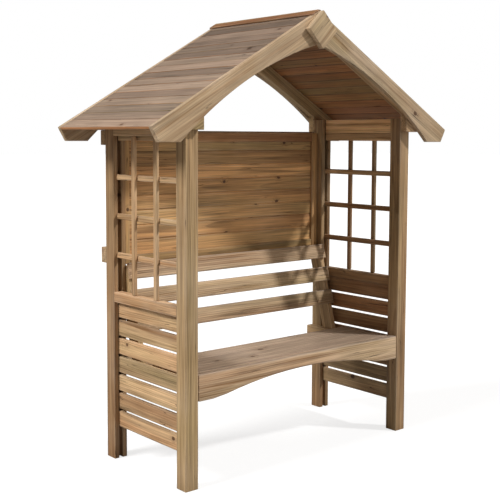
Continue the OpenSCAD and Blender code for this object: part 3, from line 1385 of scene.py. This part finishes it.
@dataclass(frozen=True)
class SideFrame:
    """One side: slats, mid rail, lattice, head rail and wall plate."""

    side: Side
    slat_count: int = 7
    slat_gap: float = 0.011
    levels: int = 3
    uprights: int = 2
    bar: float = 0.025
    tenon_depth: float = 0.0164
    level_depth: float = 0.0227
    upright_depth: float = 0.018
    plate_lip: float = 0.020
    groove: float = 0.017
    lattice_spread: float = 0.8
    slat_arris: float = 0.0035
    level_arris: float = 0.005
    upright_arris: float = 0.007

    def label(self, part: str) -> str:
        """The node's name for a part of this side."""
        return f"{part}_{self.side.name.lower()}"

    def slats(self, finish: bpy.types.Material) -> None:
        """Level slats with open gaps, held in the posts' grooves.

        Args:
            finish: its material.
        """
        box = Box.of(self.label("slats"))
        tall = (box.size[2] - (self.slat_count - 1) * self.slat_gap) / self.slat_count
        piece = Piece(self.label("slats") + "_timber")
        for i in range(self.slat_count):
            foot = box.low[2] + i * (tall + self.slat_gap)
            slat = Box(
                np.array([box.low[0], box.low[1], foot]),
                np.array([box.high[0], box.high[1], foot + tall]),
            )
            piece.add(plank(slat, 1, self.slat_arris, piece.seed()), Y_AXIS, Z_AXIS)
        piece.build(finish, "infill_timber", self.label("slats"))

    def level_bar(self, box: Box, rail: Box, foot: float, seed: int) -> Surface:
        """A level bar of the lattice, thinner where its ends run into the grooves.

        Args:
            box: the lattice's box.
            rail: the mid rail's box, which ends at the posts.
            foot: its lower edge.
            seed: picks the face's waves.

        Returns:
            The bar's surface.
        """
        between = np.linspace(rail.low[1], rail.high[1], 8)
        near = [box.low[1], rail.low[1] - SHOULDER]
        far = [rail.high[1] + SHOULDER, box.high[1]]
        y = np.concatenate([near, between, far])
        inside = (y >= rail.low[1]) & (y <= rail.high[1])
        depth = np.where(inside, self.level_depth, self.tenon_depth)
        x = box.inner(self.side) + self.side.value * depth / 2
        centres = np.stack([x, y, np.full_like(y, foot + self.bar / 2)], axis=1)
        halves = np.stack([depth / 2, np.full_like(y, self.bar / 2)], axis=1)
        inset = np.zeros_like(y)
        return planked(centres, halves, (X_AXIS, Z_AXIS), inset, self.level_arris, seed)

    def lattice(self, finish: bpy.types.Material) -> None:
        """Level bars in the posts' grooves, and uprights nailed outside them.

        Args:
            finish: its material.
        """
        box = Box.of(self.label("lattice"))
        rail = Box.of(self.label("mid_rail"))
        piece = Piece(self.label("lattice") + "_timber", self.lattice_spread)
        room = Box.of(self.label("head_rail")).low[2] - box.low[2]
        level_gap = (room - self.levels * self.bar) / (self.levels + 1)
        upright_gap = (rail.size[1] - self.uprights * self.bar) / (self.uprights + 1)
        outer_x = box.outer(self.side)
        upright_x = outer_x - self.side.value * self.upright_depth
        for i in range(self.levels):
            foot = box.low[2] + (i + 1) * level_gap + i * self.bar
            piece.add(self.level_bar(box, rail, foot, piece.seed()), Y_AXIS, Z_AXIS)
        for i in range(self.uprights):
            near = rail.low[1] + (i + 1) * upright_gap + i * self.bar
            upright = Box(
                np.array([min(outer_x, upright_x), near, box.low[2]]),
                np.array([max(outer_x, upright_x), near + self.bar, box.high[2]]),
            )
            piece.add(plank(upright, 2, self.upright_arris, piece.seed()), Z_AXIS, Y_AXIS)
        piece.build(finish, "infill_timber", self.label("lattice"))

    def wall_plate(self, finish: bpy.types.Material) -> None:
        """The plate at the head, with a lip that hangs outside the head rail.

        Args:
            finish: its material.
        """
        box = Box.of(self.label("wall_plate"))
        wide, long, tall = box.size
        corners = [
            (0, self.plate_lip),
            (self.groove, self.plate_lip),
            (self.groove, 0),
            (wide, 0),
            (wide, tall),
            (0, tall),
        ]
        start = np.array([box.inner(self.side), box.low[1], box.low[2]])
        lay = Lay(start, Y_AXIS, self.side.value * X_AXIS, Z_AXIS)
        piece = Piece(self.label("wall_plate") + "_timber", FRAME_SPREAD)
        section = rounded_section(corners, ARRIS)
        piece.add(moulded(section, lay, long, piece.seed()), Y_AXIS, Z_AXIS)
        piece.build(finish, "frame_timber", self.label("wall_plate"))

    def build(self, palette: Palette) -> None:
        """Builds the side from the ground up.

        Args:
            palette: the finished materials.
        """
        self.slats(palette.infill)
        whole(self.label("mid_rail"), 1, palette.frame, "frame_timber")
        self.lattice(palette.infill)
        whole(self.label("head_rail"), 1, palette.infill, "infill_timber")
        self.wall_plate(palette.frame)


@dataclass(frozen=True)
class BackPanel:
    """The two rails behind the posts, and the boarded panel between the posts."""

    board: float = 0.067
    groove: float = 0.0034
    spread: float = 1.7

    def boards(self, finish: bpy.types.Material) -> None:
        """Level boards laid up from the bottom rail; the top one takes what is left.

        Args:
            finish: its material.
        """
        box = Box.of("panel_boards")
        piece = Piece("panel_boards_timber", self.spread)
        count = math.ceil(box.size[2] / self.board)
        for i in range(count):
            foot = box.low[2] + i * self.board
            wide = min(self.board, box.high[2] - foot)
            start = np.array([box.low[0], box.low[1], foot])
            grooves = (self.groove if i else 0.0, self.groove if i < count - 1 else 0.0)
            section = grooved_board(wide, box.size[1], grooves)
            lay = Lay(start, X_AXIS, Z_AXIS, Y_AXIS)
            piece.add(moulded(section, lay, box.size[0], piece.seed()), X_AXIS, Z_AXIS)
        piece.build(finish, "panel_timber", "panel_boards")

    def build(self, palette: Palette) -> None:
        """Builds the back.

        Args:
            palette: the finished materials.
        """
        for node in ("back_rail_top", "back_rail_low"):
            whole(node, 0, palette.frame, "frame_timber")
        for node in ("panel_rail_top", "panel_rail_low"):
            whole(node, 0, palette.panel, "frame_timber")
        for node in ("panel_stile_left", "panel_stile_right"):
            whole(node, 2, palette.panel, "frame_timber")
        self.boards(palette.panel)


@dataclass(frozen=True)
class Seat:
    """Two bearers, three boards and an arched apron."""

    boards: int = 3
    gap: float = 0.003
    apron_foot: float = 0.110
    apron_rise: float = 0.056
    apron_arris: float = 0.006
    apron_spread: float = 0.4
    board_arris: float = 0.004
    board_spread: float = 0.8

    def apron(self, finish: bpy.types.Material) -> None:
        """The apron: its lower edge is flat at the ends and a circle's arc between.

        The arc's height above the foot is what is left of the rise at each place:
        the circle's radius follows from half its span and its rise.

        Args:
            finish: its material.
        """
        box = Box.of("seat_apron")
        half = box.high[0] - self.apron_foot
        radius = (half**2 + self.apron_rise**2) / (2 * self.apron_rise)
        stations, inset = rounded_ends(box.size[0], self.apron_arris)
        x = box.low[0] + stations
        arch = np.sqrt(np.maximum(radius**2 - x**2, 0)) - (radius - self.apron_rise)
        low = box.low[2] + np.where(np.abs(x) < half, np.maximum(arch, 0), 0)
        high = np.full_like(x, box.high[2])
        centres = np.stack([x, np.full_like(x, box.centre[1]), (low + high) / 2], axis=1)
        halves = np.stack([np.full_like(x, box.size[1] / 2), (high - low) / 2], axis=1)
        piece = Piece("seat_apron_timber", self.apron_spread)
        axes = (Y_AXIS, Z_AXIS)
        skin = planked(centres, halves, axes, inset, self.apron_arris, piece.seed())
        piece.add(skin, X_AXIS, Z_AXIS)
        piece.build(finish, "seat_timber", "seat_apron")

    def top(self, finish: bpy.types.Material) -> None:
        """The seat boards, side by side with small gaps.

        Args:
            finish: its material.
        """
        box = Box.of("seat_boards")
        wide = (box.size[1] - (self.boards - 1) * self.gap) / self.boards
        piece = Piece("seat_boards_timber", self.board_spread)
        for i in range(self.boards):
            near = box.low[1] + i * (wide + self.gap)
            board = Box(
                np.array([box.low[0], near, box.low[2]]),
                np.array([box.high[0], near + wide, box.high[2]]),
            )
            piece.add(plank(board, 0, self.board_arris, piece.seed()), X_AXIS, Y_AXIS)
        piece.build(finish, "seat_timber", "seat_boards")

    def build(self, palette: Palette) -> None:
        """Builds the seat.

        Args:
            palette: the finished materials.
        """
        for side in Side:
            whole(f"seat_bearer_{side.name.lower()}", 1, palette.frame, "frame_timber")
        self.apron(palette.seat)
        self.top(palette.seat)


@dataclass(frozen=True)
class Backrest:
    """Two leaning legs and the three rails on their front edges."""

    lean: float = 0.27
    leg_depth: float = 0.074
    rail_width: float = 0.0735
    rail_thickness: float = 0.020
    rail_arris: float = 0.004
    rail_spread: float = 0.6

    @property
    def up(self) -> np.ndarray:
        """The way the legs rise, which is also the way the rails stand."""
        return np.array([0.0, self.lean, 1.0]) / math.hypot(self.lean, 1)

    def leg(self, side: Side, finish: bpy.types.Material) -> None:
        """One leg: level sections that step back as they rise.

        Args:
            side: left or right.
            finish: its material.
        """
        node = f"backrest_leg_{side.name.lower()}"
        box = Box.of(node)
        stations, inset = rounded_ends(box.size[2], ARRIS)
        foot = box.low[1] + self.leg_depth / 2
        centres = np.stack(
            [
                np.full_like(stations, box.centre[0]),
                foot + self.lean * stations,
                box.low[2] + stations,
            ],
            axis=1,
        )
        halves = np.tile([box.size[0] / 2, self.leg_depth / 2], (len(stations), 1))
        piece = Piece(f"{node}_timber", FRAME_SPREAD)
        skin = planked(centres, halves, (X_AXIS, Y_AXIS), inset, ARRIS, piece.seed())
        piece.add(skin, self.up, X_AXIS)
        piece.build(finish, "frame_timber", node)

    def rail(self, part: str, finish: bpy.types.Material) -> None:
        """One rail, tipped back with the legs.

        Args:
            part: top, middle or low.
            finish: its material.
        """
        node = f"backrest_rail_{part}"
        box = Box.of(node)
        start = np.array([box.low[0], box.centre[1], box.centre[2]])
        lay = Lay(start, X_AXIS, np.cross(self.up, X_AXIS), self.up)
        sizes = (box.size[0], self.rail_thickness, self.rail_width)
        piece = Piece(f"{node}_timber", self.rail_spread)
        piece.add(leaning_plank(lay, sizes, self.rail_arris, piece.seed()), X_AXIS, self.up)
        piece.build(finish, "seat_timber", node)

    def build(self, palette: Palette) -> None:
        """Builds the backrest."""
        for side in Side:
            self.leg(side, palette.frame)
        for part in ("low", "middle", "top"):
            self.rail(part, palette.seat)


@dataclass(frozen=True)
class Gable:
    """One end of the roof: two rafters, two bargeboards and the apex block."""

    end: End
    pitch: float = ROOF_PITCH
    rafter: float = 0.0595
    foot_lean: float = 0.0345
    foot_width: float = 0.104
    ridge_depth: float = 0.144
    curve: float = 1.738
    tip_round: float = 0.0015
    spread: float = 0.6
    block: float = 0.118
    block_spread: float = 0.4

    def label(self, part: str, side: Side) -> str:
        """The node's name for a part of this gable."""
        return f"{part}_{self.end.name.lower()}_{side.name.lower()}"

    def sloped(
        self, part: str, side: Side, x: np.ndarray, low: np.ndarray, high: np.ndarray
    ) -> Piece:
        """A timber down the slope, from plumb sections.

        Args:
            part: rafter or bargeboard.
            side: left or right.
            x: distances from the middle (n,).
            low: its underside at each (n,).
            high: its top edge at each (n,).

        Returns:
            The piece, ready to build.
        """
        node = self.label(part, side)
        box = Box.of(node)
        y = np.full_like(x, box.centre[1])
        centres = np.stack([side.value * x, y, (low + high) / 2], axis=1)
        halves = np.stack([np.full_like(x, box.size[1] / 2), (high - low) / 2], axis=1)
        inset = np.zeros_like(x)
        inset[0] = inset[-1] = ARRIS / 2
        piece = Piece(f"{node}_timber", self.spread)
        run = np.array([side.value * math.cos(self.pitch), 0.0, -math.sin(self.pitch)])
        skin = planked(centres, halves, (Y_AXIS, Z_AXIS), inset, ARRIS, piece.seed())
        piece.add(skin, run, np.cross(run, Y_AXIS))
        return piece

    def rafter_pair(self, palette: Palette) -> None:
        """Rafters, each with a heel whose foot is level beside the post."""
        slope = math.tan(self.pitch)
        for side in Side:
            box = Box.of(self.label("rafter", side))
            cut = Box.of("post_front_right").inner(Side.RIGHT)
            straight = np.linspace(0, cut, 10)
            heel = np.linspace(cut + SHOULDER, abs(box.outer(side)), 5)
            x = np.concatenate([straight, heel])
            high = box.high[2] - slope * x
            low = high - self.rafter / math.cos(self.pitch)
            low = np.where(x > cut, box.low[2], low)
            piece = self.sloped("rafter", side, x, low, high)
            piece.build(palette.frame, "frame_timber", self.label("rafter", side))

    def bargeboards(self, palette: Palette) -> None:
        """Bargeboards: straight above, a circle's arc below, and a cut-back foot.

        The arc runs from the ridge depth at the middle to the foot's inner corner.
        Its centre lies square to the middle of that chord, inside it.
        """
        slope = math.tan(self.pitch)
        for side in Side:
            box = Box.of(self.label("bargeboard", side))
            tip = abs(box.outer(side))
            tip_z = box.high[2] - slope * tip
            foot_out = tip - self.foot_lean
            foot_in = foot_out - self.foot_width
            middle = box.high[2] - self.ridge_depth
            drop = middle - box.low[2]
            chord = math.hypot(foot_in, drop)
            away = math.sqrt(self.curve**2 - chord**2 / 4)
            centre_x = foot_in / 2 - drop / chord * away
            centre_z = (middle + box.low[2]) / 2 - foot_in / chord * away
            arc_x = np.linspace(0, foot_in, 32)
            arc = centre_z + np.sqrt(self.curve**2 - (arc_x - centre_x) ** 2)
            foot_x = np.linspace(foot_in, foot_out, 4)[1:]
            end_x = np.linspace(foot_out, tip, 5)[1:]
            end_x[-1] -= self.tip_round
            rise = (end_x - foot_out) / (tip - foot_out) * (tip_z - box.low[2])
            x = np.concatenate([arc_x, foot_x, end_x])
            low = np.concatenate([arc, np.full(len(foot_x), box.low[2]), box.low[2] + rise])
            high = box.high[2] - slope * x
            piece = self.sloped("bargeboard", side, x, low, high)
            piece.build(palette.barge, "barge_timber", self.label("bargeboard", side))

    def apex(self, palette: Palette) -> None:
        """The square block set on its corner over the joint.

        Args:
            palette: the finished materials.
        """
        node = f"apex_block_{self.end.name.lower()}"
        box = Box.of(node)
        run = np.array([1.0, 0.0, 1.0]) / math.sqrt(2)
        across = np.array([-1.0, 0.0, 1.0]) / math.sqrt(2)
        start = box.centre - run * self.block / 2
        piece = Piece(f"{node}_timber", self.block_spread)
        sizes = (self.block, self.block, box.size[1])
        skin = leaning_plank(Lay(start, run, across, Y_AXIS), sizes, ARRIS, piece.seed())
        piece.add(skin, run, across)
        piece.build(palette.barge, "barge_timber", node)

    def build(self, palette: Palette) -> None:
        """Builds the gable.

        Args:
            palette: the finished materials.
        """
        self.rafter_pair(palette)
        self.bargeboards(palette)
        self.apex(palette)


@dataclass(frozen=True)
class RoofSlope:
    """One slope: level boards from ridge to eave, and a cap strip along the ridge.

    thickest and thinnest are the least and the most that a board falls short of its
    thickness. ridge_shade is how dark the boards by the ridge are, shade_fade how soon
    that fades down the slope, and the last board's extra lightness is painted light.
    """

    side: Side
    pitch: float = ROOF_PITCH
    boards: int = 16
    thickness: float = 0.0135
    groove: float = 0.0014
    thinnest: float = 0.0012
    thickest: float = 0.0002
    ridge_shade: float = 2.0
    shade_fade: float = 1.5
    eave_painted_light: float = 0.8
    cap_width: float = 0.048
    cap_thickness: float = 0.007
    cap_arris: float = 0.002
    cap_spread: float = 0.3
    seed: int = 5

    def lay(self, down: float, out: float, box: Box, ridge: float) -> Lay:
        """Where a board lies on the slope.

        Args:
            down: distance of its start down the slope.
            out: height of its start above the roof plane.
            box: the node's box, for its length.
            ridge: height of the roof plane at the ridge.

        Returns:
            Its lay, which runs from front to back.
        """
        across = np.array([self.side.value * math.cos(self.pitch), 0.0, -math.sin(self.pitch)])
        through = np.array([self.side.value * math.sin(self.pitch), 0.0, math.cos(self.pitch)])
        start = across * down + through * out + np.array([0.0, box.low[1], ridge])
        return Lay(start, Y_AXIS, across, through)

    def build(self, palette: Palette) -> None:
        """Builds the slope.

        Args:
            palette: the finished materials.
        """
        label = self.side.name.lower()
        box = Box.of(f"roof_boards_{label}")
        ridge = Box.of(f"bargeboard_front_{label}").high[2]
        first = self.thickness * math.tan(self.pitch)
        slope = abs(box.outer(self.side)) / math.cos(self.pitch)
        step = (slope - first) / self.boards
        piece = Piece(f"roof_boards_{label}_timber")
        rng = np.random.default_rng(self.seed + self.side.value)
        for i in range(self.boards):
            thick = self.thickness - rng.uniform(self.thickest, self.thinnest)
            lay = self.lay(first + i * step, -self.thickness, box, ridge)
            last = i == self.boards - 1
            grooves = (self.groove if i else 0.0, 0.0 if last else self.groove)
            section = grooved_board(step, thick, grooves)
            dim = -self.ridge_shade * (1 - i / self.boards) ** self.shade_fade
            skin = moulded(section, lay, box.size[1], piece.seed())
            # The eave board gets painted light; the others darken towards the ridge.
            piece.add(skin, Y_AXIS, lay.across, self.eave_painted_light if last else dim)
        piece.build(palette.roof, "roof_timber", f"roof_boards_{label}")
        cap_box = Box.of(f"ridge_cap_{label}")
        lay = self.lay(self.cap_width / 2, self.cap_thickness / 2, cap_box, ridge)
        sizes = (cap_box.size[1], self.cap_width, self.cap_thickness)
        cap = Piece(f"ridge_cap_{label}_timber", self.cap_spread)
        cap.add(leaning_plank(lay, sizes, self.cap_arris, cap.seed()), Y_AXIS, lay.across)
        cap.build(palette.ridge, "ridge_timber", f"ridge_cap_{label}")


def mixed_palette() -> Palette:
    """Makes the materials.

    Returns:
        One for each kind of timber.
    """
    dull = rgb(0.36, 0.275, 0.21)
    slate = rgb(0.285, 0.21, 0.157)
    frame_wood = Timber("frame_wood", rgb(0.52, 0.335, 0.17), knot_share=0.12, mottle=0.3)
    infill_wood = Timber("infill_wood", rgb(0.57, 0.375, 0.2))
    seat_wood = Timber("seat_wood", rgb(0.58, 0.405, 0.25), grey=dull, weather=0.75, mottle=0.2)
    panel_wood = Timber("panel_wood", rgb(0.6, 0.325, 0.13), weather=0.1)
    barge_wood = Timber("barge_wood", rgb(0.47, 0.335, 0.2), weather=0.3, ring_depth=0.3, mottle=0.6)
    roof_wood = Timber("roof_wood", rgb(0.43, 0.19, 0.072), grey=slate, weather=0.9, mottle=0.0)
    ridge_wood = Timber("ridge_wood", rgb(0.2, 0.072, 0.03), weather=0.0, mottle=0.0)
    return Palette(
        frame=frame_wood.make(),
        infill=infill_wood.make(),
        seat=seat_wood.make(),
        panel=panel_wood.make(),
        barge=barge_wood.make(),
        roof=roof_wood.make(),
        ridge=ridge_wood.make(),
    )


def main() -> None:
    """Builds the arbour, sub-assembly by sub-assembly, and sets up the studio."""
    logging.basicConfig(level=logging.INFO, format="%(name)s %(message)s")
    log.info("frame: %d nodes", len(frame["nodes"]))
    Viewpoint().set_up()
    Studio().set_up()
    Backdrop().make()
    palette = mixed_palette()
    CornerPosts().build(palette)
    for side in Side:
        SideFrame(side).build(palette)
    BackPanel().build(palette)
    Seat().build(palette)
    Backrest().build(palette)
    for end in End:
        Gable(end).build(palette)
    for side in Side:
        RoofSlope(side).build(palette)
    bpy.context.scene.view_settings.view_transform = "Standard"
    bpy.context.view_layer.update()


if __name__ == "__main__":
    main()
